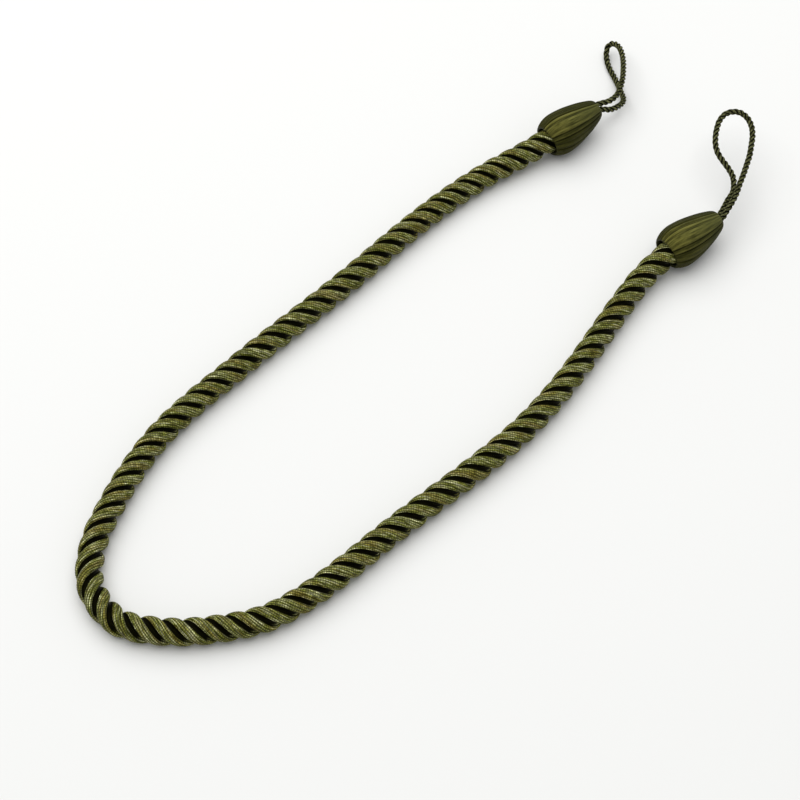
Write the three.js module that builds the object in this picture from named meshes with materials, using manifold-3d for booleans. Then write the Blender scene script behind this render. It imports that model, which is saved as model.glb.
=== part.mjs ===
// A rope curtain tieback lying in a long U on a table: a three-strand laid rope, a wound and ribbed
// acorn-shaped head on each end of it, and a loop of thin twisted cord out of the tip of each head.
// Millimetres, +Z up. The table is z = 0, and the U opens towards +Y.
import * as THREE from 'three';
import { mergeVertices } from 'three/addons/utils/BufferGeometryUtils.js';
import Module from 'manifold-3d';

// Rope: three wrapped cords laid together right-handed
const STRANDS = 3;
const ROPE_RADIUS = 5.7;
const ROPE_SETTLE = 0.35; // how far each strand flattens where it meets the table
const ROPE_STEPS_PER_TURN = 10;
const ROPE_START_TURN = 0.09;
// One strand's outline across the rope: share of the strand's third of a turn, share of the rope's radius
const ROPE_STRAND = [
  [-0.5, 0.42],
  [-0.25, 0.92],
  [0, 1],
  [0.25, 0.92],
];
// Centre line from inside the left head, round the bend, to inside the right head:
// x and y on the table, and lift above the height at which the rope lies
const ROPE_ROUTE = [
  [-39.0, 124.5, 4],
  [-43.5, 105.0, 1.9],
  [-48.2, 86.0, 0.5],
  [-50.7, 66.5, 0],
  [-51.7, 46.5, 0],
  [-51.7, 26.5, 0],
  [-51.2, 7.0, 0],
  [-51.2, -13.0, 0],
  [-51.7, -33.0, 0],
  [-52.2, -52.5, 0],
  [-52.2, -72.5, 0],
  [-52.2, -92.5, 0],
  [-50.7, -112.0, 0],
  [-46.2, -131.5, 0],
  [-39.5, -150.0, 0],
  [-30.5, -168.0, 0],
  [-16.5, -181.5, 0],
  [2.5, -184.5, 0],
  [19.5, -174.5, 0],
  [33.0, -160.0, 0],
  [43.8, -143.0, 0],
  [48.8, -124.0, 0],
  [50.8, -104.5, 0],
  [51.8, -84.5, 0],
  [53.3, -65.0, 0],
  [55.3, -45.0, 0],
  [56.8, -25.5, 0],
  [57.3, -5.5, 0],
  [55.8, 14.5, 0],
  [52.8, 34.0, 0],
  [48.8, 53.5, 0],
  [44.8, 73.0, 0.5],
  [42.2, 92.5, 1.9],
  [43.0, 112.0, 4],
];
// The hand-laid twist is a little uneven: distance along the rope, turns of the strands since its left end
const ROPE_LAY = [
  [0, 0],
  [93.5, 3.76],
  [187, 7.27],
  [280.5, 11.04],
  [374, 14.61],
  [467.5, 18.35],
  [561, 21.85],
  [654.5, 25.33],
];

// Heads: thread wound lengthwise, drawn in at the mouth round the rope and at the tip round the loop
const HEAD_PITCH = THREE.MathUtils.degToRad(6.5);
const HEADS = {
  left: { mouth: [-40.1, 118.5, 8.7], heading: 80.3, firstLeg: -30 },
  right: { mouth: [42.0, 106.1, 8.7], heading: 79.6, firstLeg: -120 },
};
// Distance from the mouth, radius, share of the rib relief: socket, mouth, belly, tip and cord hole
const HEAD_PROFILE = [
  [7.0, 6.5, 0],
  [1.5, 6.5, 0],
  [0.4, 6.8, 0.2],
  [0, 7.3, 0.5],
  [0.5, 7.9, 0.8],
  [1.8, 8.7, 1],
  [4, 9.45, 1],
  [7, 9.9, 1],
  [10.5, 9.75, 1],
  [14.5, 9.15, 1],
  [18.5, 8.2, 1],
  [22.5, 7.0, 0.9],
  [26, 5.65, 0.8],
  [28.3, 4.5, 0.6],
  [29.6, 3.9, 0.4],
  [30, 3.4, 0.2],
  [29.7, 3.05, 0],
  [27, 3.05, 0],
];
const RIB_RELIEF = 0.55;
// The ribs' widths in degrees round the head, from the middle of its top
const RIB_WIDTHS = [30, 24, 30, 22, 38, 31, 40, 26, 20, 28, 22, 27, 22];
// Points across one rib: share of its width, share of the relief that is sunk there
const RIB_SECTION = [
  [0, 1],
  [0.25, 0.12],
  [0.75, 0.12],
];

// Hanging loops: thin twisted cord, both ends side by side in the head's tip
const CORD_RADIUS = 1.25;
const CORD_LAY = 7.6;
const CORD_STEPS_PER_TURN = 8;
const CORD_STRAND = [
  [-0.5, 0.6],
  [-0.17, 0.98],
  [0.17, 0.98],
];
const LEG_SPREAD = 1.45;
const LEG_ENDS_AT = 27.4;
const LEG_LEAVES_AT = 31;
// x, y and z of each loop between the points where its two legs leave the head
const LOOP_ROUTES = {
  left: [
    [-33.5, 154.6, 12.9],
    [-33.3, 158.6, 12.7],
    [-34.3, 162.4, 12.4],
    [-36.4, 166.7, 12.1],
    [-39.2, 171.2, 11.7],
    [-42.7, 175.8, 11.2],
    [-46.6, 180.4, 10.6],
    [-50.9, 184.5, 9.8],
    [-55.0, 187.3, 8.9],
    [-58.5, 188.4, 7.6],
    [-60.7, 188.1, 6.1],
    [-61.3, 186.9, 4.3],
    [-60.3, 185.1, 2.5],
    [-57.5, 182.4, 1.7],
    [-53.1, 179.2, 1.6],
    [-48.3, 176.7, 1.6],
    [-43.0, 173.5, 2.2],
    [-38.2, 170.0, 3.3],
    [-34.0, 166.6, 4.8],
    [-31.8, 163.0, 6.3],
    [-31.0, 158.6, 7.9],
    [-31.5, 153.7, 9.3],
  ],
  right: [
    [45.7, 140.7, 12.4],
    [44.1, 146.2, 12.9],
    [43.0, 151.0, 13.5],
    [40.6, 154.6, 14.1],
    [37.4, 157.5, 14.7],
    [33.2, 159.2, 15.5],
    [29.1, 160.2, 16.4],
    [25.4, 161.4, 17.3],
    [22.0, 163.7, 18.3],
    [19.1, 167.0, 19.3],
    [16.8, 170.7, 20.1],
    [15.0, 174.9, 20.8],
    [14.7, 179.3, 21.3],
    [16.4, 182.6, 21.5],
    [19.4, 184.5, 21.5],
    [23.4, 184.4, 21.2],
    [27.5, 182.3, 20.7],
    [31.2, 178.6, 20.2],
    [34.3, 174.0, 19.6],
    [37.2, 169.2, 19.0],
    [39.6, 164.1, 18.3],
    [41.9, 158.9, 17.6],
    [43.8, 154.1, 16.8],
    [45.7, 149.7, 16.0],
    [47.1, 145.0, 15.1],
    [48.0, 140.6, 14.2],
  ],
};

// The table that the tieback rests on, as the block that its resting spots are cut by
const TABLE_SIZE = 600;
const TABLE_DEPTH = 20;

const ROPE_COLOUR = 0x6c6a35;
const HEAD_COLOUR = 0x5d5a2b;
const CORD_COLOUR = 0x45462a;

const UP = new THREE.Vector3(0, 0, 1);
const wasm = await Module();
wasm.setup();

// A closed mesh through rings of points: walls between neighbouring rings, and a fan over each end.
function throughRings(rings) {
  const count = rings[0].length;
  const points = rings.flat();
  const faces = [];
  for (let ring = 0; ring + 1 < rings.length; ring += 1) {
    for (let j = 0; j < count; j += 1) {
      const here = ring * count + j;
      const beside = ring * count + ((j + 1) % count);
      faces.push(here, beside, beside + count, here, beside + count, here + count);
    }
  }
  const first = points.length;
  const last = first + 1;
  points.push(middleOf(rings[0]), middleOf(rings[rings.length - 1]));
  const lastRing = (rings.length - 1) * count;
  for (let j = 0; j < count; j += 1) {
    const next = (j + 1) % count;
    faces.push(first, next, j, last, lastRing + j, lastRing + next);
  }
  const geometry = new THREE.BufferGeometry().setFromPoints(points);
  geometry.setIndex(faces);
  return geometry;
}

function middleOf(points) {
  const sum = points.reduce((total, point) => total.add(point), new THREE.Vector3());
  return sum.divideScalar(points.length);
}

// Value of a table of [place, value] rows at a place, straight between rows.
function along(table, place) {
  const next = table.findIndex((row, index) => index > 0 && (row[0] >= place || index === table.length - 1));
  const [[from, low], [to, high]] = [table[next - 1], table[next]];
  return low + ((high - low) * (place - from)) / (to - from);
}

// A laid rope: one outline of rounded strands, swept along a curve and turned right-handed as it goes.
function laidRope({ route, radius, strand, turnsAt, stepsPerTurn }) {
  const curve = new THREE.CatmullRomCurve3(route, false, 'centripetal');
  curve.arcLengthDivisions = 60 * route.length;
  const length = curve.getLength();
  const turns = turnsAt(length) - turnsAt(0);
  const steps = Math.round(turns * stepsPerTurn);
  const rings = [];
  for (let step = 0; step <= steps; step += 1) {
    const centre = curve.getPointAt(step / steps);
    const tangent = curve.getTangentAt(step / steps);
    const above = UP.clone().addScaledVector(tangent, -UP.dot(tangent)).normalize();
    const beside = tangent.clone().cross(above);
    const turned = turnsAt((length * step) / steps);
    const ring = [];
    for (let s = 0; s < STRANDS; s += 1) {
      for (const [share, reach] of strand) {
        const angle = 2 * Math.PI * (turned + (s + share) / STRANDS);
        const point = centre.clone().addScaledVector(above, radius * reach * Math.cos(angle));
        ring.push(point.addScaledVector(beside, radius * reach * Math.sin(angle)));
      }
    }
    rings.push(ring);
  }
  return throughRings(rings);
}

// A wound head in its own frame: mouth at the origin, tip along +Y, ribs all round.
function woundHead() {
  const columns = [];
  let start = -RIB_WIDTHS[0] / 2;
  for (const width of RIB_WIDTHS) {
    for (const [share, sunk] of RIB_SECTION) {
      columns.push([THREE.MathUtils.degToRad(start + share * width), sunk * RIB_RELIEF]);
    }
    start += width;
  }
  const rings = HEAD_PROFILE.map(([fromMouth, radius, relief]) => columns.map(([angle, sunk]) => {
    const reach = radius - relief * sunk;
    return new THREE.Vector3(reach * Math.sin(angle), fromMouth, reach * Math.cos(angle));
  }));
  return throughRings(rings);
}

function toSolid(geometry) {
  const bare = new THREE.BufferGeometry();
  bare.setAttribute('position', geometry.getAttribute('position').clone());
  bare.setIndex(geometry.getIndex());
  const merged = mergeVertices(bare);
  const vertProperties = new Float32Array(merged.getAttribute('position').array);
  const triVerts = new Uint32Array(merged.getIndex().array);
  return new wasm.Manifold(new wasm.Mesh({ numProp: 3, vertProperties, triVerts }));
}

function toGeometry(solid) {
  const { vertProperties, triVerts } = solid.getMesh();
  const geometry = new THREE.BufferGeometry();
  geometry.setAttribute('position', new THREE.Float32BufferAttribute(vertProperties, 3));
  geometry.setIndex(Array.from(triVerts));
  return geometry;
}

// Cuts the small flat spots on which a piece rests; placing is the matrix that takes the piece to its place.
function restOnTable(geometry, placing) {
  const table = new THREE.BoxGeometry(TABLE_SIZE, TABLE_SIZE, TABLE_DEPTH);
  table.translate(0, 0, -TABLE_DEPTH / 2);
  table.applyMatrix4(placing.clone().invert());
  return toGeometry(toSolid(geometry).subtract(toSolid(table)));
}

function piece(name, geometry, color, roughness) {
  geometry.computeVertexNormals();
  const mesh = new THREE.Mesh(geometry, new THREE.MeshStandardMaterial({ color, roughness, metalness: 0 }));
  mesh.name = name;
  return mesh;
}

function rope() {
  const lying = ROPE_RADIUS - ROPE_SETTLE;
  const geometry = laidRope({
    route: ROPE_ROUTE.map(([x, y, lift]) => new THREE.Vector3(x, y, lying + lift)),
    radius: ROPE_RADIUS,
    strand: ROPE_STRAND,
    turnsAt: (place) => ROPE_START_TURN + along(ROPE_LAY, place),
    stepsPerTurn: ROPE_STEPS_PER_TURN,
  });
  return piece('rope', restOnTable(geometry, new THREE.Matrix4()), ROPE_COLOUR, 0.75);
}

function headOn(side) {
  const { mouth, heading } = HEADS[side];
  const place = new THREE.Object3D();
  place.position.set(...mouth);
  place.rotation.set(HEAD_PITCH, 0, THREE.MathUtils.degToRad(heading - 90), 'ZXY');
  place.updateMatrixWorld();
  const mesh = piece(`head_${side}`, restOnTable(woundHead(), place.matrixWorld), HEAD_COLOUR, 0.5);
  mesh.position.copy(place.position);
  mesh.rotation.copy(place.rotation);
  mesh.updateMatrixWorld();
  return mesh;
}

function loopOn(side, head) {
  const angle = THREE.MathUtils.degToRad(HEADS[side].firstLeg);
  const legAt = (fromMouth, sign) => {
    const offset = sign * LEG_SPREAD;
    const point = new THREE.Vector3(offset * Math.sin(angle), fromMouth, offset * Math.cos(angle));
    return head.localToWorld(point);
  };
  const route = [
    legAt(LEG_ENDS_AT, 1),
    legAt(LEG_LEAVES_AT, 1),
    ...LOOP_ROUTES[side].map((point) => new THREE.Vector3(...point)),
    legAt(LEG_LEAVES_AT, -1),
    legAt(LEG_ENDS_AT, -1),
  ];
  const geometry = laidRope({
    route,
    radius: CORD_RADIUS,
    strand: CORD_STRAND,
    turnsAt: (place) => place / CORD_LAY,
    stepsPerTurn: CORD_STEPS_PER_TURN,
  });
  return piece(`loop_${side}`, geometry, CORD_COLOUR, 0.7);
}

const tieback = new THREE.Group();
tieback.add(rope());
for (const side of Object.keys(HEADS)) {
  const head = headOn(side);
  tieback.add(head, loopOn(side, head));
}

export default tieback;
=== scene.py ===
# %% [markdown]
# # A rope curtain tieback
# The real thing is a length of three-strand rope with a wound head on each end and a thin hanging loop
# out of each head. Here it lies in a long U on a table, as it would before it is hung up.
# The CAD solids are loaded first, because every Blender piece has to lie where they do.

# %% Load the frame
import math

import bpy
import numpy as np
from mathutils import Matrix, Vector


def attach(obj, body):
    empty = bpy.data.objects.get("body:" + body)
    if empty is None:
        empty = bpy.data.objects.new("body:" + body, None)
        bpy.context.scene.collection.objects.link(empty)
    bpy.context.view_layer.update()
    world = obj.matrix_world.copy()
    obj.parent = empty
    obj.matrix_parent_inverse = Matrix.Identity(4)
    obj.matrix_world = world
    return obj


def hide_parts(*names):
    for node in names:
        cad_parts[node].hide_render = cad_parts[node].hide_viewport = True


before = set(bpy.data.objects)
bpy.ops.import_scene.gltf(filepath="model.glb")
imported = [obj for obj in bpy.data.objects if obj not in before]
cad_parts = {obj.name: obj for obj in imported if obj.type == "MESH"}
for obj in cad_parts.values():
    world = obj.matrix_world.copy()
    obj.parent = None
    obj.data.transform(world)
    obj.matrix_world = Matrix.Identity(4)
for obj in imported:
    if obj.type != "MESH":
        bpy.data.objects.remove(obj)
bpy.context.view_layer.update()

MM = 0.001
print("CAD nodes:", sorted(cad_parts))

# %% [markdown]
# ## The camera
# A picture is matched in two parts: where the camera stands, and how long its lens is. Both were found
# by laying the rope's outline over the picture. A long lens from 0.86 m away keeps the two limbs of the U almost
# the same thickness, which a wide lens from close by wouldn't.

# %% Camera
EYE = Vector((0.3397, -0.3726, 0.7097))
AIM = Vector((0.0072, -0.0283, 0.0))

camera_data = bpy.data.cameras.new("table_camera")
camera_data.lens = 90
camera_data.sensor_width = 36
camera_data.clip_start = 0.01
camera = bpy.data.objects.new("table_camera", camera_data)
camera.location = EYE
camera.rotation_euler = (AIM - EYE).to_track_quat("-Z", "Y").to_euler()
bpy.context.collection.objects.link(camera)
bpy.context.scene.camera = camera
print(f"camera {(AIM - EYE).length:.3f} m from its aim")

# %% [markdown]
# ## The rope's line
# A rope is first of all a line. These are the points of its route, in millimetres, from inside the left head, round
# the bend, to inside the right head. The last number of each is how far the rope is lifted off its
# usual height, since the heads are thicker than the rope and raise its ends.
# The smooth curve used here passes through every point, so the rope can be drawn through listed places on the table.

# %% Route of the rope
ROPE_RADIUS = 5.7
ROPE_LIES_AT = 5.35
ROPE_START_TURN = 0.09
ROPE_ROUTE = [
    (-39.0, 124.5, 4), (-43.5, 105.0, 1.9), (-48.2, 86.0, 0.5), (-50.7, 66.5, 0),
    (-51.7, 46.5, 0), (-51.7, 26.5, 0), (-51.2, 7.0, 0), (-51.2, -13.0, 0),
    (-51.7, -33.0, 0), (-52.2, -52.5, 0), (-52.2, -72.5, 0), (-52.2, -92.5, 0),
    (-50.7, -112.0, 0), (-46.2, -131.5, 0), (-39.5, -150.0, 0), (-30.5, -168.0, 0),
    (-16.5, -181.5, 0), (2.5, -184.5, 0), (19.5, -174.5, 0), (33.0, -160.0, 0),
    (43.8, -143.0, 0), (48.8, -124.0, 0), (50.8, -104.5, 0), (51.8, -84.5, 0),
    (53.3, -65.0, 0), (55.3, -45.0, 0), (56.8, -25.5, 0), (57.3, -5.5, 0),
    (55.8, 14.5, 0), (52.8, 34.0, 0), (48.8, 53.5, 0), (44.8, 73.0, 0.5),
    (42.2, 92.5, 1.9), (43.0, 112.0, 4),
]
# The twist, laid by hand, is a little uneven: millimetres along the rope, turns since its left end
ROPE_LAY = [
    (0, 0), (93.5, 3.76), (187, 7.27), (280.5, 11.04),
    (374, 14.61), (467.5, 18.35), (561, 21.85), (654.5, 25.33),
]
SPAN_STEPS = 60


def smooth_line(route, step):
    """Even points, about a step apart, on one smooth curve through a route, and how far along each lies."""
    points = np.array(route, dtype=float)
    points = np.vstack([2 * points[0] - points[1], points, 2 * points[-1] - points[-2]])
    share = np.linspace(0, 1, SPAN_STEPS, endpoint=False)[:, None]
    spans = []
    for a, b, c, d in zip(points, points[1:], points[2:], points[3:]):
        before, here, after = (np.linalg.norm(v) ** 0.5 for v in (b - a, c - b, d - c))
        leave = here * ((b - a) / before - (c - a) / (before + here) + (c - b) / here)
        arrive = here * ((c - b) / here - (d - b) / (here + after) + (d - c) / after)
        bend = 3 * (c - b) - 2 * leave - arrive
        spans.append(b + share * leave + share**2 * bend + share**3 * (leave + arrive - 2 * (c - b)))
    line = np.vstack([*spans, points[-2]])
    along = np.concatenate([[0], np.cumsum(np.linalg.norm(np.diff(line, axis=0), axis=1))])
    even = np.linspace(0, along[-1], round(along[-1] / step) + 1)
    return np.stack([np.interp(even, along, line[:, axis]) for axis in range(3)], axis=1), even


rope_route = [(x * MM, y * MM, (ROPE_LIES_AT + lift) * MM) for x, y, lift in ROPE_ROUTE]
rope_line, rope_along = smooth_line(rope_route, 0.5 * MM)
rope_turns = ROPE_START_TURN + np.interp(rope_along / MM, *zip(*ROPE_LAY))
print(f"rope {rope_along[-1]:.4f} m long, {rope_turns[-1]:.1f} turns")

# %% [markdown]
# ## One function that adds nodes
# Geometry and materials are both built from node trees. One small function adds a node, sets its options and
# links or fills its inputs, so that the trees below read as a list of steps.
# Colours are written as the sRGB hex values that one would pick by eye, and turned to the linear light that
# Blender uses.

# %% Node and colour helpers
def add_node(tree, kind, inputs=None, **options):
    """Adds a node with its options; an input gets a link if it is given a socket, and else a value."""
    node = tree.nodes.new(kind)
    for name, value in options.items():
        setattr(node, name, value)
    for name, value in (inputs or {}).items():
        if isinstance(value, bpy.types.NodeSocket):
            tree.links.new(value, node.inputs[name])
        else:
            node.inputs[name].default_value = value
    return node


def linear(colour):
    """An sRGB hex colour as linear red, green, blue and alpha."""
    shares = [int(colour[i:i + 2], 16) / 255 for i in (1, 3, 5)]
    return [c / 12.92 if c <= 0.04045 else ((c + 0.055) / 1.055) ** 2.4 for c in shares] + [1.0]


def new_tree(name, inputs):
    """An empty geometry tree with named inputs, and the two nodes at its ends."""
    tree = bpy.data.node_groups.new(name, "GeometryNodeTree")
    tree.interface.new_socket("Geometry", in_out="OUTPUT", socket_type="NodeSocketGeometry")
    for label, kind in inputs.items():
        tree.interface.new_socket(label, in_out="INPUT", socket_type=f"NodeSocket{kind}")
    return tree, add_node(tree, "NodeGroupInput").outputs, add_node(tree, "NodeGroupOutput").inputs


print("olive in linear light:", [round(c, 3) for c in linear("#7d7a3c")])

# %% [markdown]
# ## Strands laid round a line
# A laid rope is three cords that wind round one line. Each could be drawn as its own curve, but a rule is
# shorter: copy the line three times, push every point of a copy out by the strand's distance from the middle, and
# turn that push a little further at each step. Geometry Nodes do this in a few nodes, and the same tree then
# makes the thick rope and the thin loops, with other sizes.

# %% Strand tree: copies of the line
strand_tree, given, made = new_tree("laid_strands", {
    "Geometry": "Geometry", "Section": "Object", "Strands": "Int", "From Middle": "Float",
    "Thread Pitch": "Float", "Thread Relief": "Float", "Finish": "Material",
})
copies = add_node(strand_tree, "GeometryNodeDuplicateElements", {
    "Geometry": add_node(strand_tree, "GeometryNodeMeshToCurve", {"Mesh": given["Geometry"]}).outputs[0],
    "Amount": given["Strands"],
}, domain="SPLINE")
numbered = add_node(strand_tree, "GeometryNodeStoreNamedAttribute", {
    "Geometry": copies.outputs["Geometry"], "Name": "strand", "Value": copies.outputs["Duplicate Index"],
}, data_type="FLOAT", domain="CURVE")
print("laid_strands starts with", len(strand_tree.nodes), "nodes")

# %% [markdown]
# Next comes the way that each point is pushed. It starts straight up from the line and is then turned about the
# line, by the turns that the guide carries and by the strand's own share of a whole turn. The direction is kept as
# an attribute, because the strand's outline has to face that way too.

# %% Strand tree: which way is out
ahead = add_node(strand_tree, "GeometryNodeInputTangent").outputs[0]
leaning = add_node(strand_tree, "ShaderNodeVectorMath", {0: (0, 0, 1), 1: ahead}, operation="PROJECT")
above = add_node(strand_tree, "ShaderNodeVectorMath", {0: (0, 0, 1), 1: leaning.outputs[0]}, operation="SUBTRACT")
strand = add_node(strand_tree, "GeometryNodeInputNamedAttribute", {"Name": "strand"}, data_type="FLOAT").outputs[0]
turns = add_node(strand_tree, "GeometryNodeInputNamedAttribute", {"Name": "turns"}, data_type="FLOAT").outputs[0]
share = add_node(strand_tree, "ShaderNodeMath", {0: strand, 1: given["Strands"]}, operation="DIVIDE")
turned = add_node(strand_tree, "ShaderNodeMath", {0: turns, 1: share.outputs[0]}, operation="ADD")
angle = add_node(strand_tree, "ShaderNodeMath", {0: turned.outputs[0], 1: math.tau}, operation="MULTIPLY")
outward = add_node(strand_tree, "ShaderNodeVectorRotate", {
    "Vector": add_node(strand_tree, "ShaderNodeVectorMath", {0: above.outputs[0]}, operation="NORMALIZE").outputs[0],
    "Axis": ahead, "Angle": angle.outputs[0],
}, rotation_type="AXIS_ANGLE")
aimed = add_node(strand_tree, "GeometryNodeStoreNamedAttribute", {
    "Geometry": numbered.outputs[0], "Name": "outward", "Value": outward.outputs[0],
}, data_type="FLOAT_VECTOR", domain="POINT")
outward = add_node(strand_tree, "GeometryNodeInputNamedAttribute", {
    "Name": "outward"}, data_type="FLOAT_VECTOR").outputs[0]
pushed = add_node(strand_tree, "GeometryNodeSetPosition", {
    "Geometry": aimed.outputs[0],
    "Offset": add_node(strand_tree, "ShaderNodeVectorMath", {
        0: outward, "Scale": given["From Middle"]}, operation="SCALE").outputs[0],
})
print("laid_strands grows to", len(strand_tree.nodes), "nodes")

# %% [markdown]
# Each cord of this rope is wrapped in thread, crosswise, like a spring. The rings of the swept tube stand half a
# thread apart, and every second ring is a little larger, which makes one small ridge for each turn of the thread.
# The strand's own section is a guide too, so that it can be any shape, and its outer side always faces out of the rope.

# %% Strand tree: rings and sweep
half_pitch = add_node(strand_tree, "ShaderNodeMath", {0: given["Thread Pitch"], 1: 0.5}, operation="MULTIPLY")
ringed = add_node(strand_tree, "GeometryNodeResampleCurve", {
    "Curve": pushed.outputs[0], "Length": half_pitch.outputs[0]}, mode="LENGTH")
place = add_node(strand_tree, "GeometryNodeSplineParameter").outputs
second = add_node(strand_tree, "ShaderNodeMath", {0: place["Index"], 1: 2.0}, operation="MODULO")
wrapped = add_node(strand_tree, "ShaderNodeMath", {0: second.outputs[0], 1: -0.5}, operation="ADD")
ring_scale = add_node(strand_tree, "ShaderNodeMath", {
    0: wrapped.outputs[0], 1: given["Thread Relief"], 2: 1.0}, operation="MULTIPLY_ADD")
measured = add_node(strand_tree, "GeometryNodeStoreNamedAttribute", {
    "Geometry": ringed.outputs[0], "Name": "along", "Value": place["Length"]}, data_type="FLOAT", domain="POINT")
facing = add_node(strand_tree, "GeometryNodeSetCurveNormal", {
    "Curve": measured.outputs[0], "Normal": outward}, mode="FREE")
section = add_node(strand_tree, "GeometryNodeMeshToCurve", {
    "Mesh": add_node(strand_tree, "GeometryNodeObjectInfo", {"Object": given["Section"]}).outputs["Geometry"]})
swept = add_node(strand_tree, "GeometryNodeCurveToMesh", {
    "Curve": facing.outputs[0], "Profile Curve": section.outputs[0],
    "Scale": ring_scale.outputs[0], "Fill Caps": True,
})
smooth = add_node(strand_tree, "GeometryNodeSetShadeSmooth", {
    "Geometry": add_node(strand_tree, "GeometryNodeRealizeInstances", {0: swept.outputs[0]}).outputs[0]})
finished = add_node(strand_tree, "GeometryNodeSetMaterial", {
    "Geometry": smooth.outputs[0], "Material": given["Finish"]})
strand_tree.links.new(finished.outputs[0], made[0])
print("laid_strands ends with", len(strand_tree.nodes), "nodes")

# %% [markdown]
# ## Growing a piece from a tree
# A tree is a recipe. To keep what it makes as a plain mesh, it is put on a guide object as a modifier, its
# inputs are set, the evaluated result is copied, and the guide is thrown away with its modifier.
# Cloth and rope flatten where they lie, so whatever would sink into the table is laid flat on it.

# %% Guides and pieces
def guide(name, points, closed=False, **values):
    """A line of edges through points, with a number at each point for every named value."""
    mesh = bpy.data.meshes.new(name)
    edges = [(i, i + 1) for i in range(len(points) - 1)] + [(len(points) - 1, 0)] * closed
    mesh.from_pydata([tuple(p) for p in points], edges, [])
    for label, numbers in values.items():
        mesh.attributes.new(label, "FLOAT", "POINT").data.foreach_set("value", np.asarray(numbers, dtype=np.float32))
    line = bpy.data.objects.new(name, mesh)
    bpy.context.collection.objects.link(line)
    return line


def grow(name, source, tree, placing=Matrix.Identity(4), **sizes):
    """Runs a tree on a guide and keeps its result as a piece, in its place and flat where it meets the table."""
    modifier = source.modifiers.new(tree.name, "NODES")
    modifier.node_group = tree
    for socket in tree.interface.items_tree:
        value = sizes.get(socket.name.lower().replace(" ", "_"))
        if value is not None:
            modifier[socket.identifier] = value
    graph = bpy.context.evaluated_depsgraph_get()
    mesh = bpy.data.meshes.new_from_object(
        source.evaluated_get(graph), preserve_all_data_layers=True, depsgraph=graph)
    for used in [source, *(size for size in sizes.values() if isinstance(size, bpy.types.Object))]:
        bpy.data.objects.remove(used)
    mesh.name = name
    mesh.transform(placing)
    points = np.empty(3 * len(mesh.vertices), dtype=np.float32)
    mesh.vertices.foreach_get("co", points)
    points[2::3] = np.maximum(points[2::3], 0)
    mesh.vertices.foreach_set("co", points)
    mesh.update()
    piece = bpy.data.objects.new(name, mesh)
    bpy.context.collection.objects.link(piece)
    mesh.calc_loop_triangles()
    print(f"{name}: {len(mesh.loop_triangles)} triangles")
    return piece


print("helpers:", guide.__name__, "and", grow.__name__)

# %% [markdown]
# ## Wrapped rayon yarn
# The rope's cords are wrapped in rayon thread. Rayon takes dye unevenly, so one cord shows olive, yellow-green and
# brownish lengths side by side, in streaks that run along it. The thread is soft and a little silky: rough, with a weak
# sheen. Where two cords meet, hardly any light gets in, and that shade is also painted into the yarn's colour, nearly
# black.

# %% Rope finish: patterns along a cord
def new_finish(name, **sockets):
    """A material, its node tree and its shader's inputs, with the numbers that are the same all over it set."""
    finish = bpy.data.materials.new(name)
    finish.use_nodes = True
    shader = finish.node_tree.nodes["Principled BSDF"]
    for label, value in sockets.items():
        shader.inputs[label.replace("_", " ")].default_value = value
    return finish, finish.node_tree, shader.inputs


ROPE_STRAND_RADIUS = 2.1  # a strand's mean radius, which turns an angle round it into millimetres
# The next two are coarser than on the real rope, so that single turns and rows just show in the picture
THREAD_PITCH = 0.85
ROW_PITCH = 1.05
# How long and how wide each pattern's spots are on a strand, in millimetres, how rough they are, and a seed
YARN_PATTERNS = {
    "streaks": (4.5, 0.45, 3.0, 9.7),
    "dye": (12.0, 2.5, 2.0, 5.3),
    "flecks": (1.6, 0.5, 2.0, 3.1),
}

rope_yarn, tree, shader = new_finish(
    "wrapped_rayon_yarn", Roughness=0.65, IOR=1.53, Specular_IOR_Level=0.12, Specular_Tint=linear("#b9b25c"))
along = add_node(tree, "ShaderNodeAttribute", attribute_name="along").outputs["Fac"]
around = add_node(tree, "ShaderNodeAttribute", attribute_name="round").outputs["Fac"]
strand = add_node(tree, "ShaderNodeAttribute", attribute_name="strand").outputs["Fac"]
pattern = {}
for name, (length, width, detail, seed) in YARN_PATTERNS.items():
    spot = add_node(tree, "ShaderNodeCombineXYZ")
    scales = {"X": (along, 1 / (length * MM)), "Y": (around, ROPE_STRAND_RADIUS / width), "Z": (strand, seed)}
    for axis, (place, scale) in scales.items():
        scaled = add_node(tree, "ShaderNodeMath", {0: place, 1: scale}, operation="MULTIPLY")
        tree.links.new(scaled.outputs[0], spot.inputs[axis])
    pattern[name] = add_node(tree, "ShaderNodeTexNoise", {
        "Vector": spot.outputs[0], "Scale": 1.0, "Detail": detail, "Roughness": 0.6}).outputs["Fac"]
print("patterns:", *pattern)

# %% [markdown]
# The streaks choose a colour between dark and pale olive, fibre by fibre. The spots of the dye are far larger and mix
# brown into whole lengths of a cord.

# %% Rope finish: dyed colours
olive = add_node(tree, "ShaderNodeValToRGB", {"Fac": pattern["streaks"]})
stops = olive.color_ramp.elements
stops[0].position, stops[0].color = 0.36, linear("#3b3e14")
stops[1].position, stops[1].color = 0.64, linear("#969674")
stops.new(0.5).color = linear("#63662b")
brown_share = add_node(tree, "ShaderNodeMapRange", {
    "Value": pattern["dye"], "From Min": 0.48, "From Max": 0.64, "To Min": 0.0, "To Max": 0.5})
dyed = add_node(tree, "ShaderNodeMixRGB", {
    "Fac": brown_share.outputs[0], "Color1": olive.outputs[0], "Color2": linear("#6b5c2b")})
print("olive in", len(stops), "shades, and brown")
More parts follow.
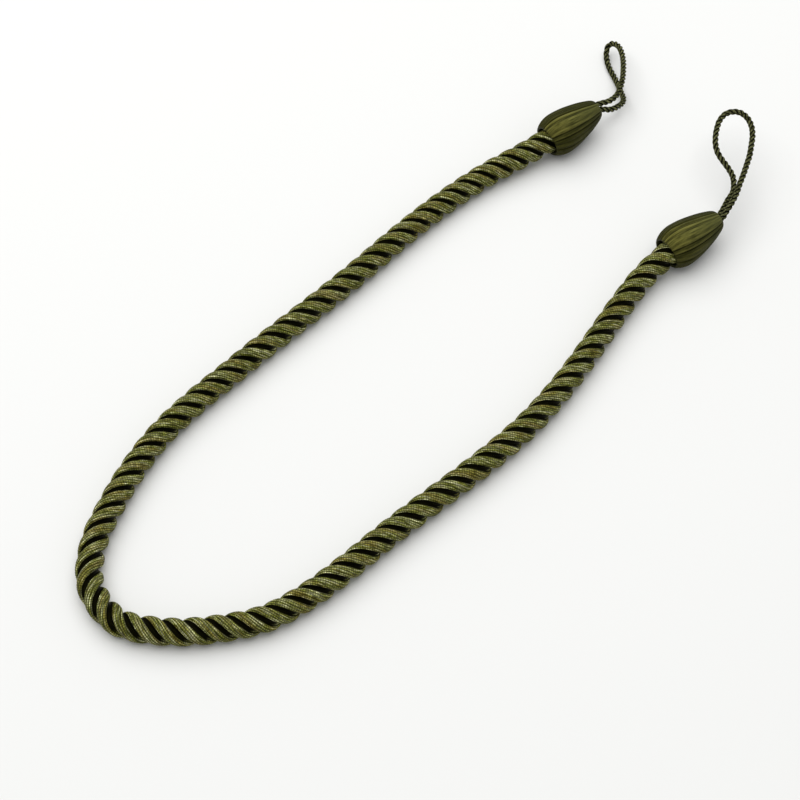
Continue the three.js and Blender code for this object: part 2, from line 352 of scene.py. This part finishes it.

# %% [markdown]
# Up close the wrapping looks like rows of small stitches that run along each cord. Two waves, one along the cord
# and one round it, make a stitch wherever their crests meet; between the crests the colour is darker, which paints the
# shade of the grooves between turns of thread. The patterns push both waves about, so that the rows wander, as wound
# thread does, and don't look printed. The flecks are made brighter along the cord's shoulders, a painted highlight in a
# bright row beside each valley.

# %% Rope finish: stitches and shoulders
# Each wave is pushed about by a pattern, by up to so many radians
uneven = {
    label: add_node(tree, "ShaderNodeMath", {0: pattern[spots], 1: radians}, operation="MULTIPLY").outputs[0]
    for label, spots, radians in (("wrap", "flecks", 6.0), ("row", "streaks", 7.0))
}
waves = {
    "wrap": add_node(tree, "ShaderNodeMath", {
        0: along, 1: math.tau / (THREAD_PITCH * MM), 2: uneven["wrap"]}, operation="MULTIPLY_ADD"),
    "row": add_node(tree, "ShaderNodeMath", {
        0: around, 1: math.tau * ROPE_STRAND_RADIUS / ROW_PITCH, 2: uneven["row"]}, operation="MULTIPLY_ADD"),
}
# The stitches' own look, with painted shade in the grooves between the crests
crests = [
    add_node(tree, "ShaderNodeMapRange", {
        "Value": add_node(tree, "ShaderNodeMath", {0: wave.outputs[0]}, operation="COSINE").outputs[0],
        "From Min": low, "From Max": -low, "To Min": least}).outputs[0]
    for wave, low, least in ((waves["wrap"], 1.0, 0.25), (waves["row"], -1.0, 0.0))
]
stitch = add_node(tree, "ShaderNodeMath", {0: crests[0], 1: crests[1]}, operation="MULTIPLY")
facing_out = add_node(tree, "ShaderNodeMath", {0: around}, operation="COSINE").outputs[0]
# Painted highlight: the flecks are up to three times brighter on the cord's shoulders
shoulder_highlight = add_node(tree, "ShaderNodeMapRange", {
    "Value": facing_out, "From Min": 0.75, "From Max": 0.45, "To Min": 1.0, "To Max": 3.0})
fleck = add_node(tree, "ShaderNodeMapRange", {
    "Value": pattern["flecks"], "From Min": 0.36, "From Max": 0.64, "To Min": 0.2, "To Max": 3.0})
fleck_and_shoulder_highlight = add_node(tree, "ShaderNodeMath", {0: fleck.outputs[0], 1: shoulder_highlight.outputs[0]}, operation="MULTIPLY")
stitch_light = add_node(tree, "ShaderNodeMath", {
    0: stitch.outputs[0], 1: fleck_and_shoulder_highlight.outputs[0], 2: 0.3}, operation="MULTIPLY_ADD")
print("stitches", THREAD_PITCH, "by", ROW_PITCH, "mm")

# %% [markdown]
# Beyond the shoulders the yarn's colour is painted darker, as painted shade down into each valley. High on the rope the
# painted bottom of a valley is nearly black. Low down it is painted lighter, olive again, as painted light thrown up
# from the white table.

# %% Rope finish: valleys
# Millimetres above the table, and how light the bottom of a valley is painted there: painted shade high up, painted
# light from the table low down
VALLEY_HIGH, VALLEY_LOW = (6.0, 0.005), (3.6, 0.5)
height = add_node(tree, "ShaderNodeSeparateXYZ", {
    0: add_node(tree, "ShaderNodeTexCoord").outputs["Object"]}).outputs["Z"]
painted_valley_floor = add_node(tree, "ShaderNodeMapRange", {
    "Value": height, "From Min": VALLEY_HIGH[0] * MM, "From Max": VALLEY_LOW[0] * MM,
    "To Min": VALLEY_HIGH[1], "To Max": VALLEY_LOW[1]})
# Painted shade: the colour darkens down each strand's sides into the valleys between strands
valley_shade = add_node(tree, "ShaderNodeMapRange", {
    "Value": facing_out, "From Min": 0.2, "From Max": 0.62, "To Min": painted_valley_floor.outputs[0], "To Max": 1.0,
}, interpolation_type="SMOOTHSTEP")
lightness = add_node(tree, "ShaderNodeMath", {0: stitch_light.outputs[0], 1: valley_shade.outputs[0]}, operation="MULTIPLY")
shaded = add_node(tree, "ShaderNodeVectorMath", {0: dyed.outputs[0], "Scale": lightness.outputs[0]}, operation="SCALE")
tree.links.new(shaded.outputs[0], shader["Base Color"])
fuzz = add_node(tree, "ShaderNodeBump", {
    "Height": stitch_light.outputs[0], "Strength": 0.35, "Distance": 0.1 * MM})
tree.links.new(fuzz.outputs[0], shader["Normal"])
print("finish:", rope_yarn.name, "with", len(tree.nodes), "nodes")

# %% [markdown]
# ## The rope
# Cords that are laid together press each other out of round. Each of the three has a wide crown, steep sides and a
# foot that meets the next cord's foot, and the narrow valley between two crowns, in real shade and painted shade, is
# the dark line that winds along the rope. One side of this outline is drawn here, and the other is its mirror image.
# The crown's height and the outline's distance from the middle add up to the rope's radius.

# %% Rope
# One side of a strand, from its crown to its foot and in to the rope's middle: millimetres outwards and sideways
STRAND_SIDE = [
    (1.84, 0), (1.75, 0.85), (1.4, 1.6), (0.8, 2.08), (0.05, 2.18), (-0.6, 2.05), (-0.8, 2.85), (-3.5, 0),
]


def strand_section(name, side, radius):
    """A strand's closed outline from one side of it, and how far round from its crown each point lies, in radians."""
    side = np.array(side)
    walked = np.concatenate([[0], np.cumsum(np.linalg.norm(np.diff(side, axis=0), axis=1))]) / radius
    points = np.vstack([side, side[-2:0:-1] * (1, -1)])
    return guide(name, np.column_stack([points * MM, 0 * points[:, 0]]), closed=True,
                 round=np.concatenate([walked, -walked[-2:0:-1]]))


rope = grow(
    "tieback_rope", guide("rope_line", rope_line, turns=rope_turns), strand_tree,
    section=strand_section("rope_strand", STRAND_SIDE, ROPE_STRAND_RADIUS),
    strands=3, from_middle=(ROPE_RADIUS - STRAND_SIDE[0][0]) * MM,
    thread_pitch=THREAD_PITCH * MM, thread_relief=0.05, finish=rope_yarn)
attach(rope, "root")
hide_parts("rope")

# %% [markdown]
# ## Where the heads stand
# Each loop starts and ends inside a head, so the heads' places come before the loops. A head points
# along its own Y axis from its mouth, where the rope goes in, to its tip. It is turned to the rope's heading
# and tipped up a little, because its fat end rests on the table.

# %% Places of the heads
HEAD_PITCH = 6.5  # degrees
HEAD_LENGTH = 30
HEADS = {
    "left": {"mouth": (-40.1, 118.5, 8.7), "heading": 80.3, "first_leg": -30},
    "right": {"mouth": (42.0, 106.1, 8.7), "heading": 79.6, "first_leg": -120},
}


def head_place(side):
    """The matrix that takes a head from its own frame to its place on the table."""
    head = HEADS[side]
    turn = Matrix.Rotation(math.radians(head["heading"] - 90), 4, "Z")
    tip_up = Matrix.Rotation(math.radians(HEAD_PITCH), 4, "X")
    return Matrix.Translation(Vector(head["mouth"]) * MM) @ turn @ tip_up


for side in HEADS:
    print(side, "head's tip:", [round(x, 4) for x in head_place(side) @ Vector((0, HEAD_LENGTH * MM, 0))])

# %% [markdown]
# ## The loops' lines
# A hanging loop is one short cord with both ends side by side in the head's tip. The left one droops back to
# the table, and the right one is stiff enough to stand a little above it.

# %% Routes of the loops
CORD_LAY = 7.6
LEG_SPREAD = 1.45
LEG_ENDS_AT = 27.4
LEG_LEAVES_AT = 31
LOOP_ROUTES = {
    "left": [
        (-33.5, 154.6, 12.9), (-33.3, 158.6, 12.7), (-34.3, 162.4, 12.4), (-36.4, 166.7, 12.1),
        (-39.2, 171.2, 11.7), (-42.7, 175.8, 11.2), (-46.6, 180.4, 10.6), (-50.9, 184.5, 9.8),
        (-55.0, 187.3, 8.9), (-58.5, 188.4, 7.6), (-60.7, 188.1, 6.1), (-61.3, 186.9, 4.3),
        (-60.3, 185.1, 2.5), (-57.5, 182.4, 1.7), (-53.1, 179.2, 1.6), (-48.3, 176.7, 1.6),
        (-43.0, 173.5, 2.2), (-38.2, 170.0, 3.3), (-34.0, 166.6, 4.8), (-31.8, 163.0, 6.3),
        (-31.0, 158.6, 7.9), (-31.5, 153.7, 9.3),
    ],
    "right": [
        (45.7, 140.7, 12.4), (44.1, 146.2, 12.9), (43.0, 151.0, 13.5), (40.6, 154.6, 14.1),
        (37.4, 157.5, 14.7), (33.2, 159.2, 15.5), (29.1, 160.2, 16.4), (25.4, 161.4, 17.3),
        (22.0, 163.7, 18.3), (19.1, 167.0, 19.3), (16.8, 170.7, 20.1), (15.0, 174.9, 20.8),
        (14.7, 179.3, 21.3), (16.4, 182.6, 21.5), (19.4, 184.5, 21.5), (23.4, 184.4, 21.2),
        (27.5, 182.3, 20.7), (31.2, 178.6, 20.2), (34.3, 174.0, 19.6), (37.2, 169.2, 19.0),
        (39.6, 164.1, 18.3), (41.9, 158.9, 17.6), (43.8, 154.1, 16.8), (45.7, 149.7, 16.0),
        (47.1, 145.0, 15.1), (48.0, 140.6, 14.2),
    ],
}


def loop_route(side):
    """A loop's points from the bottom of its hole in the head, out, round and back, in metres."""
    angle = math.radians(HEADS[side]["first_leg"])

    def leg(from_mouth, sign):
        offset = sign * LEG_SPREAD * MM
        return head_place(side) @ Vector((offset * math.sin(angle), from_mouth * MM, offset * math.cos(angle)))

    middle = [Vector(point) * MM for point in LOOP_ROUTES[side]]
    return [leg(LEG_ENDS_AT, 1), leg(LEG_LEAVES_AT, 1), *middle, leg(LEG_LEAVES_AT, -1), leg(LEG_ENDS_AT, -1)]


for side in HEADS:
    print(side, "loop:", round(smooth_line(loop_route(side), 0.3 * MM)[1][-1], 4), "m")

# %% [markdown]
# ## Twisted cotton cord
# The loops are plain cord, three yarns twisted together. Cotton has short fibres, so it is duller than the rayon
# of the rope. Its colour is flecked dark and pale, partly the yarn's own mottling and partly painted glints, and it is
# painted dark down the sides of each ply, as painted shade between the plies, so the pale flecks show along the crests.

# %% Loop finish
FLECK_SIZE = 0.8
loop_cord, tree, shader = new_finish(
    "twisted_cotton_cord", Roughness=0.8, IOR=1.53, Specular_IOR_Level=0.03)
around = add_node(tree, "ShaderNodeAttribute", attribute_name="round").outputs["Fac"]
flecks = add_node(tree, "ShaderNodeTexNoise", {
    "Vector": add_node(tree, "ShaderNodeTexCoord").outputs["Object"],
    "Scale": 1 / (FLECK_SIZE * MM), "Detail": 2.0})
# Dark to pale olive: the yarn's mottling, with the pale end partly painted glints
fleck_colour_and_glint = add_node(tree, "ShaderNodeValToRGB", {"Fac": flecks.outputs["Fac"]})
stops = fleck_colour_and_glint.color_ramp.elements
stops[0].position, stops[0].color = 0.38, linear("#1d1f08")
stops[1].position, stops[1].color = 0.64, linear("#696a47")
# Painted shade: the colour darkens down each ply's sides into the valleys between plies
facing_out = add_node(tree, "ShaderNodeMath", {0: around}, operation="COSINE")
valley_shade = add_node(tree, "ShaderNodeMapRange", {
    "Value": facing_out.outputs[0], "From Min": 0.3, "From Max": 0.85, "To Min": 0.02, "To Max": 1.0,
}, interpolation_type="SMOOTHSTEP")
shaded = add_node(tree, "ShaderNodeVectorMath", {
    0: fleck_colour_and_glint.outputs[0], "Scale": valley_shade.outputs[0]}, operation="SCALE")
tree.links.new(shaded.outputs[0], shader["Base Color"])
fuzz = add_node(tree, "ShaderNodeBump", {
    "Height": flecks.outputs["Fac"], "Strength": 0.4, "Distance": 0.1 * MM})
tree.links.new(fuzz.outputs[0], shader["Normal"])
print("finish:", loop_cord.name)

# %% [markdown]
# ## The loops
# The rope's tree makes the loops too, with three thin plies in place of the strands. A ply is round, but reaches
# further in than a circle would, so that the three close up in the middle. Each loop is a cord that leaves its head
# and goes back into it.

# %% Loops
PLY_RADIUS = 0.65
PLY_FROM_MIDDLE = 0.77
INNER_SIDE, INNER_STRETCH = 2, 1.2  # radians from the crown, and how much further in a ply reaches beyond them
PLY_SIDE = [
    (PLY_RADIUS * math.cos(a) * (1 if a < INNER_SIDE else INNER_STRETCH), PLY_RADIUS * math.sin(a))
    for a in np.linspace(0, math.pi, 6)]
for side in HEADS:
    route = loop_route(side)
    line, along_loop = smooth_line(route, 0.25 * MM)
    loop = grow(
        f"hanging_loop_{side}", guide(f"loop_line_{side}", line, turns=along_loop / (CORD_LAY * MM)), strand_tree,
        section=strand_section(f"loop_ply_{side}", PLY_SIDE, PLY_RADIUS),
        strands=3, from_middle=PLY_FROM_MIDDLE * MM, thread_pitch=0.55 * MM, thread_relief=0.06, finish=loop_cord)
    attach(loop, "root")
    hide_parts(f"loop_{side}")

# %% [markdown]
# ## A head wound with thread
# The acorn-shaped heads are wound lengthwise with satin thread over a core. The thread is drawn in at the mouth and
# at the tip, and it gathers in uneven ribs with a groove between them. Each rib has its own painted lightness: light
# along the top, a painted highlight, and dark round the sides and underneath, painted shade, over the dye's own
# differences. A turned shape would miss the ribs, so two lists describe a head: its outline from mouth to tip, and the
# grooves round its rim.

# %% Outline and rim of a head
# Millimetres from the mouth, radius, share of the grooves' depth: socket, mouth, belly, tip and cord hole
HEAD_OUTLINE = [
    (7.0, 6.5, 0), (1.5, 6.5, 0), (0.4, 6.8, 0.2), (0, 7.3, 0.5), (0.5, 7.9, 0.8), (1.8, 8.7, 1),
    (4, 9.6, 1), (7, 10.1, 1), (10.5, 9.95, 1), (14.5, 9.4, 1), (18.5, 8.5, 1), (22.5, 7.4, 0.9),
    (26, 6.15, 0.8), (28.2, 5.2, 0.6), (29.5, 4.3, 0.4), (30, 3.5, 0.2), (29.7, 3.05, 0), (27, 3.05, 0),
]
# Each groove: degrees from the middle of the top, depth, and how light the rib after it is painted (painted highlight
# on top, painted shade at the sides and below, over the dye's own differences)
RIBS = {
    "left": [
        (-42, 0.5, 0.36), (-33, 0.35, 0.42), (-24, 0.5, 0.35), (-16, 0.3, 0.42), (-8, 1.0, 1.25), (4, 0.7, 0.62),
        (9, 0.3, 1.1), (22, 0.2, 0.76), (33, 0.2, 0.95), (45, 1.0, 0.45), (50, 0.3, 0.62), (59, 1.0, 0.38),
        (73, 0.5, 0.46), (92, 0.8, 0.4), (113, 0.6, 0.42), (138, 0.7, 0.4), (170, 0.6, 0.4), (198, 0.8, 0.42),
        (226, 0.6, 0.38), (250, 0.9, 0.4), (274, 0.7, 0.36), (295, 0.6, 0.34),
    ],
    "right": [
        (-43, 0.5, 0.36), (-34, 0.35, 0.4), (-23, 0.8, 1.0), (-12, 0.7, 0.62), (-6, 0.4, 1.3), (4, 0.6, 0.8),
        (9, 0.3, 1.08), (29, 0.3, 0.76), (34, 0.2, 0.92), (45, 1.0, 0.48), (50, 0.3, 0.68), (60, 1.0, 0.42),
        (67, 0.4, 0.54), (90, 0.8, 0.44), (110, 0.6, 0.4), (136, 0.8, 0.42), (165, 0.6, 0.4), (196, 0.7, 0.38),
        (222, 0.6, 0.4), (248, 0.8, 0.36), (272, 0.6, 0.36), (297, 0.7, 0.34),
    ],
}
GROOVE_HALF_WIDTH = 4.5  # degrees
GROOVE_CURVE = 1.3  # above 1, a groove's sides grow steeper towards its bottom
CROWN = 0.12  # the share of the grooves' depth by which even the top of a rib is sunk
RIB_LIGHT_EDGE = (-1.5, -0.5, 0.5, 1.5)  # degrees over which one rib's shade passes into the next


def rim_numbers(side, count):
    """How deep the winding is sunk and how light it is painted, with painted highlight on top and painted shade round
    the sides, at even angles round a head from its top.
    """
    edges, depths, rib_lights_and_dye = (np.array(column) for column in zip(*RIBS[side]))
    angles = np.linspace(0, 360, count + 1)
    gaps = np.abs((angles[:, None] - edges[None, :] + 180) % 360 - 180)
    sunk = np.max(depths * np.clip(1 - gaps / GROOVE_HALF_WIDTH, 0, 1) ** GROOVE_CURVE, axis=1)
    tint = np.mean([
        rib_lights_and_dye[np.argmin((angles[:, None] + shift - edges[None, :]) % 360, axis=1)] for shift in RIB_LIGHT_EDGE], axis=0)
    return CROWN + (1 - CROWN) * sunk, tint


outline = smooth_line([(0, y * MM, r * MM) for y, r, _ in HEAD_OUTLINE], 0.9 * MM)[0]
steps = np.concatenate([[0], np.cumsum(np.linalg.norm(np.diff(
    [(y, r) for y, r, _ in HEAD_OUTLINE], axis=0), axis=1))])
walked = np.concatenate([[0], np.cumsum(np.linalg.norm(np.diff(outline, axis=0), axis=1))])
groove_share = np.interp(walked / walked[-1], steps / steps[-1], [share for _, _, share in HEAD_OUTLINE])
print("outline:", len(outline), "points; ribs", {side: len(ribs) for side, ribs in RIBS.items()})

# %% [markdown]
# The head's tree starts from a plain tube. The height of a point on the tube picks a place on the outline, and its
# angle picks a place on the rim, which says how deep the grooves are there and how light the rib is. A fan of
# triangles closes each end of the tube. The fan's middle point has to stay on the axis, and its distance from the axis,
# which is zero, will keep it there.

# %% Head tree: what each point reads
COLUMNS_A_THREAD = 4
head_tree, given, made = new_tree("wound_head", {
    "Geometry": "Geometry", "Rim": "Object", "Rings": "Int", "Threads": "Int",
    "Groove Depth": "Float", "Thread Relief": "Float", "Lean": "Float", "Finish": "Material",
})
columns = add_node(head_tree, "ShaderNodeMath", {0: given["Threads"], 1: COLUMNS_A_THREAD}, operation="MULTIPLY")
tube = add_node(head_tree, "GeometryNodeMeshCylinder", {
    "Vertices": columns.outputs[0], "Side Segments": given["Rings"], "Radius": 1.0, "Depth": 1.0,
}, fill_type="TRIANGLE_FAN")
spot = add_node(head_tree, "ShaderNodeSeparateXYZ", {0: add_node(head_tree, "GeometryNodeInputPosition").outputs[0]})
height = add_node(head_tree, "ShaderNodeMath", {0: spot.outputs["Z"], 1: 0.5}, operation="ADD").outputs[0]
angle = add_node(head_tree, "ShaderNodeMath", {
    0: spot.outputs["Y"], 1: spot.outputs["X"]}, operation="ARCTAN2").outputs[0]
round_share = add_node(head_tree, "ShaderNodeMath", {
    0: add_node(head_tree, "ShaderNodeMath", {0: angle, 1: math.tau}, operation="DIVIDE").outputs[0],
}, operation="FRACT").outputs[0]
hub = add_node(head_tree, "ShaderNodeMath", {
    0: add_node(head_tree, "ShaderNodeMath", {
        0: spot.outputs["X"], 1: spot.outputs["X"]}, operation="MULTIPLY").outputs[0],
    1: add_node(head_tree, "ShaderNodeMath", {
        0: spot.outputs["Y"], 1: spot.outputs["Y"]}, operation="MULTIPLY").outputs[0],
}, operation="ADD").outputs[0]
outline_at = add_node(head_tree, "GeometryNodeSampleCurve", {
    "Curves": add_node(head_tree, "GeometryNodeMeshToCurve", {"Mesh": given["Geometry"]}).outputs[0],
    "Value": add_node(head_tree, "GeometryNodeInputNamedAttribute", {
        "Name": "groove_share"}, data_type="FLOAT").outputs[0],
    "Factor": height,
}, mode="FACTOR", data_type="FLOAT")
rim_curve = add_node(head_tree, "GeometryNodeMeshToCurve", {
    "Mesh": add_node(head_tree, "GeometryNodeObjectInfo", {"Object": given["Rim"]}).outputs["Geometry"]}).outputs[0]
rim_at = {
    label: add_node(head_tree, "GeometryNodeSampleCurve", {
        "Curves": rim_curve, "Factor": round_share,
        "Value": add_node(head_tree, "GeometryNodeInputNamedAttribute", {"Name": label}, data_type="FLOAT").outputs[0],
    }, mode="FACTOR", data_type="FLOAT").outputs["Value"]
    for label in ("sunk", "tint")
}
print("wound_head starts with", len(head_tree.nodes), "nodes")

# %% [markdown]
# Every fourth column of points lies between two threads and is sunk a little, so the threads themselves are in the
# mesh. The grooves are sunk deeper, and run out at the mouth and the tip. The winding isn't quite lengthwise either:
# it leans round the head on its way to the tip, about a ring that stays where it is.

# %% Head tree: grooves, threads and lean
LEAN_ABOUT = 12  # the ring's place, in millimetres from the mouth
thread_at = add_node(head_tree, "ShaderNodeMath", {
    0: round_share, 1: given["Threads"]}, operation="MULTIPLY").outputs[0]
thread_crest = add_node(head_tree, "ShaderNodeMath", {
    0: add_node(head_tree, "ShaderNodeMath", {
        0: add_node(head_tree, "ShaderNodeMath", {0: thread_at, 1: math.pi}, operation="MULTIPLY").outputs[0],
    }, operation="SINE").outputs[0],
}, operation="ABSOLUTE")
between = add_node(head_tree, "ShaderNodeMath", {0: 1.0, 1: thread_crest.outputs[0]}, operation="SUBTRACT")
thread_sunk = add_node(head_tree, "ShaderNodeMath", {
    0: between.outputs[0], 1: given["Thread Relief"]}, operation="MULTIPLY")
all_sunk = add_node(head_tree, "ShaderNodeMath", {
    0: rim_at["sunk"], 1: given["Groove Depth"], 2: thread_sunk.outputs[0]}, operation="MULTIPLY_ADD")
here = add_node(head_tree, "ShaderNodeSeparateXYZ", {0: outline_at.outputs["Position"]})
lowered = add_node(head_tree, "ShaderNodeMath", {
    0: all_sunk.outputs[0], 1: outline_at.outputs["Value"]}, operation="MULTIPLY")
radius = add_node(head_tree, "ShaderNodeMath", {
    0: here.outputs["Z"], 1: lowered.outputs[0]}, operation="SUBTRACT")
reach = add_node(head_tree, "ShaderNodeMath", {0: radius.outputs[0], 1: hub}, operation="MULTIPLY").outputs[0]
leaning = add_node(head_tree, "ShaderNodeMath", {
    0: add_node(head_tree, "ShaderNodeMath", {
        0: here.outputs["Y"], 1: LEAN_ABOUT * MM}, operation="SUBTRACT").outputs[0],
    1: given["Lean"], 2: angle}, operation="MULTIPLY_ADD").outputs[0]
print("wound_head grows to", len(head_tree.nodes), "nodes")

# %% [markdown]
# The finish needs to know each point's place across the threads and along them, how deep it is sunk and how light
# its rib is. All four are read off the tube, so they are kept before its points move.

# %% Head tree: points in their places
kept = tube.outputs["Mesh"]
for label, value in {"thread": thread_at, "along": here.outputs["Y"], **rim_at}.items():
    kept = add_node(head_tree, "GeometryNodeStoreNamedAttribute", {
        "Geometry": kept, "Name": label, "Value": value}, data_type="FLOAT", domain="POINT").outputs[0]
moved = add_node(head_tree, "GeometryNodeSetPosition", {
    "Geometry": kept,
    "Position": add_node(head_tree, "ShaderNodeCombineXYZ", {
        "X": add_node(head_tree, "ShaderNodeMath", {
            0: reach, 1: add_node(head_tree, "ShaderNodeMath", {0: leaning}, operation="SINE").outputs[0],
        }, operation="MULTIPLY").outputs[0],
        "Y": here.outputs["Y"],
        "Z": add_node(head_tree, "ShaderNodeMath", {
            0: reach, 1: add_node(head_tree, "ShaderNodeMath", {0: leaning}, operation="COSINE").outputs[0],
        }, operation="MULTIPLY").outputs[0],
    }).outputs[0],
})
smooth = add_node(head_tree, "GeometryNodeSetShadeSmooth", {
    "Geometry": add_node(head_tree, "GeometryNodeRealizeInstances", {0: moved.outputs[0]}).outputs[0]})
finished = add_node(head_tree, "GeometryNodeSetMaterial", {
    "Geometry": smooth.outputs[0], "Material": given["Finish"]})
head_tree.links.new(finished.outputs[0], made[0])
print("wound_head ends with", len(head_tree.nodes), "nodes")

# %% [markdown]
# ## Satin thread
# The heads' thread is the same rayon, but long and untwisted, so it lies flat and shines more: a satin look. Its
# broad highlight along the top is painted, as light ribs. Each thread takes the dye a little differently. The light
# ribs are yellowish and fade to a duller green towards the tip, the dark ribs at the sides are greener as painted
# shade, and the grooves are darkest, painted shade as well.

# %% Head finish
# One shade of the dye is about 1 / 0.45 threads wide and 4 / 0.45 mm long
SHADE_SCALE, SHADE_STRETCH = 0.45, 4
head_thread, tree, shader = new_finish(
    "satin_rayon_floss", Roughness=0.5, IOR=1.53, Specular_IOR_Level=0.1, Specular_Tint=linear("#b9b25c"))
thread = add_node(tree, "ShaderNodeAttribute", attribute_name="thread").outputs["Fac"]
along = add_node(tree, "ShaderNodeAttribute", attribute_name="along").outputs["Fac"]
sunk = add_node(tree, "ShaderNodeAttribute", attribute_name="sunk").outputs["Fac"]
thread_place = add_node(tree, "ShaderNodeCombineXYZ", {
    "X": thread,
    "Y": add_node(tree, "ShaderNodeMath", {0: along, 1: 1 / (SHADE_STRETCH * MM)}, operation="MULTIPLY").outputs[0],
})
threads = add_node(tree, "ShaderNodeTexNoise", {
    "Vector": thread_place.outputs[0], "Scale": SHADE_SCALE, "Detail": 3.0, "Roughness": 0.65})
thread_colour = add_node(tree, "ShaderNodeValToRGB", {"Fac": threads.outputs["Fac"]})
stops = thread_colour.color_ramp.elements
stops[0].position, stops[0].color = 0.34, linear("#2b2b0f")
stops[1].position, stops[1].color = 0.68, linear("#716e36")
# Painted shade: the colour darkens towards the bottom of each groove
groove_shade = add_node(tree, "ShaderNodeMapRange", {
    "Value": sunk, "From Min": 0.2, "From Max": 0.9, "To Min": 1.0, "To Max": 0.3,
})
towards_tip = add_node(tree, "ShaderNodeMapRange", {
    "Value": along, "From Min": 5 * MM, "From Max": 24 * MM, "To Min": 0.0, "To Max": 0.6})
faded = add_node(tree, "ShaderNodeMixRGB", {
    "Fac": towards_tip.outputs[0], "Color1": thread_colour.outputs[0], "Color2": linear("#4b4e2b")})
# Painted light by rib: top ribs lighter and yellower, a painted highlight; side and lower ribs darker and greener,
# painted shade
tint = add_node(tree, "ShaderNodeAttribute", attribute_name="tint").outputs["Fac"]
lit_rib_share = add_node(tree, "ShaderNodeMapRange", {"Value": tint, "From Min": 0.45, "From Max": 0.75})
shade = add_node(tree, "ShaderNodeMixRGB", {
    "Fac": lit_rib_share.outputs[0], "Color2": faded.outputs[0],
    "Color1": add_node(tree, "ShaderNodeMixRGB", {
        "Fac": 0.4, "Color1": faded.outputs[0], "Color2": linear("#474b1f")}).outputs[0]})
lightness = add_node(tree, "ShaderNodeMath", {0: tint, 1: groove_shade.outputs[0]}, operation="MULTIPLY")
shaded = add_node(tree, "ShaderNodeVectorMath", {
    0: shade.outputs[0], "Scale": lightness.outputs[0]}, operation="SCALE")
tree.links.new(shaded.outputs[0], shader["Base Color"])
fuzz = add_node(tree, "ShaderNodeBump", {
    "Height": threads.outputs["Fac"], "Strength": 0.3, "Distance": 0.1 * MM})
tree.links.new(fuzz.outputs[0], shader["Normal"])
print("finish:", head_thread.name)

# %% [markdown]
# ## The heads
# Both heads come from one tree and one outline, and each is then turned and moved to its place. Only the rims
# differ, since no two wound heads gather in the same ribs.

# %% Heads
RIM_POINTS = 720
HEAD_LEAN = math.radians(0.8) / MM  # the winding leans by 0.8 degrees a millimetre
rim_circle = [(math.sin(a), 0, math.cos(a)) for a in np.linspace(0, math.tau, RIM_POINTS + 1)]
for side in HEADS:
    sunk, tint = rim_numbers(side, RIM_POINTS)
    rim = guide(f"rim_{side}", rim_circle, sunk=sunk, tint=tint)
    head = grow(
        f"wound_head_{side}", guide(f"outline_{side}", outline, groove_share=groove_share), head_tree,
        placing=head_place(side), rim=rim, rings=56, threads=120,
        groove_depth=0.75 * MM, thread_relief=0.1 * MM, lean=HEAD_LEAN, finish=head_thread)
    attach(head, "root")
    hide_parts(f"head_{side}")

# %% [markdown]
# ## The table
# The tieback lies on plain white paper, which is matt, so that it takes soft shadows and mirrors nothing. The paper
# is no part of the tieback. It lies a hair below zero, so that it doesn't share a plane with the flat spots of the rope
# and the heads.

# %% Table
paper, _, shader = new_finish("matt_white_paper", Roughness=0.9, Specular_IOR_Level=0.1)
shader["Base Color"].default_value = linear("#e4e4e2")
TABLE_HALF, TABLE_BELOW = 3.0, 0.05 * MM
table_mesh = bpy.data.meshes.new("table")
table_mesh.from_pydata(
    [(x * TABLE_HALF, y * TABLE_HALF, -TABLE_BELOW) for x, y in ((-1, -1), (1, -1), (1, 1), (-1, 1))],
    [], [(0, 1, 2, 3)])
table_mesh.materials.append(paper)
table = bpy.data.objects.new("table", table_mesh)
bpy.context.collection.objects.link(table)
print("table", 2 * TABLE_HALF, "m wide")

# %% [markdown]
# ## Light and air
# One large round lamp, almost overhead and a little to the left, and a pale room light the table softly. So each valley
# of the rope lies partly in its own shade, deepened by the painted shade in the yarn's colour, and the rope drops a
# short soft shadow to the right.

# %% Light
lamp_data = bpy.data.lights.new("soft_lamp", "AREA")
lamp_data.shape = "DISK"
lamp_data.size = 2.6
lamp_data.energy = 32
lamp = bpy.data.objects.new("soft_lamp", lamp_data)
lamp.location = (-0.45, 0.15, 1.5)
lamp.rotation_euler = (Vector((0, 0, 0)) - lamp.location).to_track_quat("-Z", "Y").to_euler()
bpy.context.collection.objects.link(lamp)

room = bpy.data.worlds.new("pale_room")
room.use_nodes = True
room.node_tree.nodes["Background"].inputs["Color"].default_value = linear("#f6f7f8")
room.node_tree.nodes["Background"].inputs["Strength"].default_value = 0.55
bpy.context.scene.world = room
bpy.context.scene.view_settings.view_transform = "Standard"
print("lamp", lamp_data.energy, "W")
